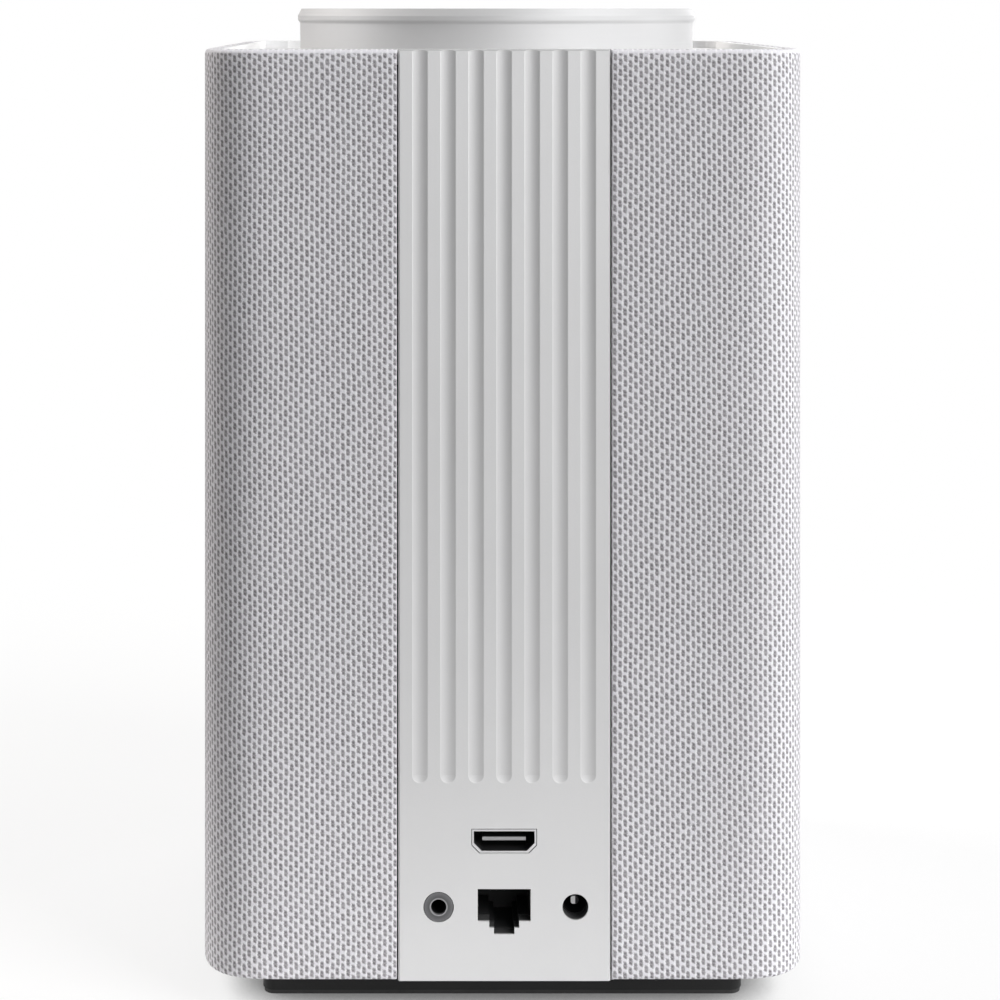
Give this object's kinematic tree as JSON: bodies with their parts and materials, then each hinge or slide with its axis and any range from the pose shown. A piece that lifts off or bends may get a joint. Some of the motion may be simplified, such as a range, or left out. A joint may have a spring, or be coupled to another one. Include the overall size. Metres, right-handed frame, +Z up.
{
  "type": "smart speaker",
  "caption": "Square smart speaker column in a cloth sleeve, with a metal rear spine holding its sockets and a turning volume ring on top.",
  "frame": {"origin": "middle of the foot pad, on the table", "axes": "+Z up, the plain front faces -Y, the metal spine and its sockets face +Y"},
  "size_m": [0.141, 0.141, 0.2329],
  "materials": {
    "foot_rubber": "matt soft rubber",
    "base_plastic": "dark grey, fine grain",
    "cloth": "light grey open weave",
    "frame_plastic": "dark grey moulded",
    "panel_metal": "bead-blasted, pale grey",
    "deck_plastic": "light grey moulded",
    "ring_metal": "turned and satin anodised",
    "white_plastic": "low-friction white plastic",
    "grey_plastic": "moulded",
    "screw_steel": "zinc plated",
    "bright_steel": "turned steel",
    "shaft_metal": "turned",
    "board_green": "circuit board",
    "chip_black": "moulded package",
    "lamp_white": "translucent lens",
    "mic_metal": "gold-plated can",
    "seal_rubber": "soft rubber",
    "diffuser": "milky diffuser",
    "cap_plastic": "satin dark plastic",
    "button_plastic": "satin",
    "box_plastic": "thick moulded plastic",
    "basket_steel": "black painted steel",
    "magnet_ferrite": "ferrite",
    "cone_paper": "coated paper",
    "coil_copper": "enamelled copper wire on a former",
    "surround_rubber": "rubber roll",
    "spider_cloth": "resin-stiffened cloth",
    "dome_cloth": "coated silk",
    "heat_metal": "milled",
    "hdmi_metal": "nickel plated",
    "socket_black": "black moulding",
    "jack_metal": "dark nickel",
    "ribbon_grey": "flat flexible cable",
    "lead_red": "insulated wire"
  },
  "bodies": {
    "cabinet": {"foot_pad": "foot_rubber", "base": "base_plastic", "case_screws": "screw_steel", "bottom_plate": "base_plastic", "sleeve_frame": "frame_plastic", "fabric_sleeve": "cloth", "rear_panel": "panel_metal", "top_deck": "deck_plastic", "ring_glide": "white_plastic", "ring_retainer": "grey_plastic", "retainer_screws": "screw_steel", "encoder_body": "grey_plastic", "top_board": "board_green", "ring_lights": "lamp_white", "microphones": "mic_metal", "mic_gaskets": "seal_rubber", "button_switches": "chip_black", "light_ring": "diffuser", "top_cap": "cap_plastic", "box_baffle": "box_plastic", "box_shell": "box_plastic", "box_gasket": "seal_rubber", "speaker_screws": "screw_steel", "woofer_basket": "basket_steel", "woofer_top_plate": "bright_steel", "woofer_magnet": "magnet_ferrite", "woofer_yoke": "bright_steel", "woofer_surround": "surround_rubber", "woofer_spider": "spider_cloth", "left_radiator_frame": "basket_steel", "left_radiator_surround": "surround_rubber", "right_radiator_frame": "basket_steel", "right_radiator_surround": "surround_rubber", "left_tweeter_body": "basket_steel", "right_tweeter_body": "basket_steel", "main_board": "board_green", "amplifier_board": "board_green", "port_board": "board_green", "board_parts": "chip_black", "heat_spreader": "heat_metal", "board_screws": "screw_steel", "hdmi_socket": "hdmi_metal", "ethernet_socket": "socket_black", "audio_jack": "jack_metal", "power_jack": "socket_black", "ribbon_cables": "ribbon_grey", "speaker_leads": "lead_red"},
    "dial": {"volume_ring": "ring_metal", "ring_gear": "white_plastic"},
    "encoder_rotor": {"encoder_shaft": "shaft_metal", "encoder_pinion": "white_plastic"},
    "mic_key": {"mic_button": "button_plastic"},
    "action_key": {"action_button": "button_plastic"},
    "woofer_motor": {"woofer_cone": "cone_paper", "woofer_dust_cap": "cone_paper", "woofer_voice_coil": "coil_copper"},
    "left_radiator": {"left_radiator_piston": "cone_paper"},
    "right_radiator": {"right_radiator_piston": "cone_paper"},
    "left_tweeter": {"left_tweeter_dome": "dome_cloth"},
    "right_tweeter": {"right_tweeter_dome": "dome_cloth"}
  },
  "joints": [
    {"name": "volume_ring_spin", "type": "hinge", "parent": "cabinet", "child": "dial", "pos_m": [0, 0, 0.2285], "axis": [0, 0, 1], "continuous": true},
    {"name": "encoder_spin", "type": "hinge", "parent": "cabinet", "child": "encoder_rotor", "pos_m": [-0.02354, 0.0324, 0.2255], "axis": [0, 0, 1], "continuous": true},
    {"name": "mic_button_press", "type": "slide", "parent": "cabinet", "child": "mic_key", "axis": [0, 0, -1], "range_m": [0, 0.0004], "stiffness_N_per_m": 2000, "springref_m": -0.0004},
    {"name": "action_button_press", "type": "slide", "parent": "cabinet", "child": "action_key", "axis": [0, 0, -1], "range_m": [0, 0.0004], "stiffness_N_per_m": 2000, "springref_m": -0.0004},
    {"name": "woofer_throw", "type": "slide", "parent": "cabinet", "child": "woofer_motor", "axis": [0, -1, 0], "range_m": [-0.004, 0.004], "stiffness_N_per_m": 1200, "deforming": ["woofer_surround", "woofer_spider"]},
    {"name": "left_radiator_throw", "type": "slide", "parent": "cabinet", "child": "left_radiator", "axis": [1, 0, 0], "range_m": [-0.005, 0.005], "stiffness_N_per_m": 800, "deforming": ["left_radiator_surround"]},
    {"name": "right_radiator_throw", "type": "slide", "parent": "cabinet", "child": "right_radiator", "axis": [-1, 0, 0], "range_m": [-0.005, 0.005], "stiffness_N_per_m": 800, "deforming": ["right_radiator_surround"]},
    {"name": "left_tweeter_throw", "type": "slide", "parent": "cabinet", "child": "left_tweeter", "axis": [0, -1, 0], "range_m": [-0.0003, 0.0003], "stiffness_N_per_m": 2000},
    {"name": "right_tweeter_throw", "type": "slide", "parent": "cabinet", "child": "right_tweeter", "axis": [0, -1, 0], "range_m": [-0.0003, 0.0003], "stiffness_N_per_m": 2000}
  ],
  "couplings": [
    {"joint": "encoder_spin", "follows": "volume_ring_spin", "ratio": 9}
  ]
}
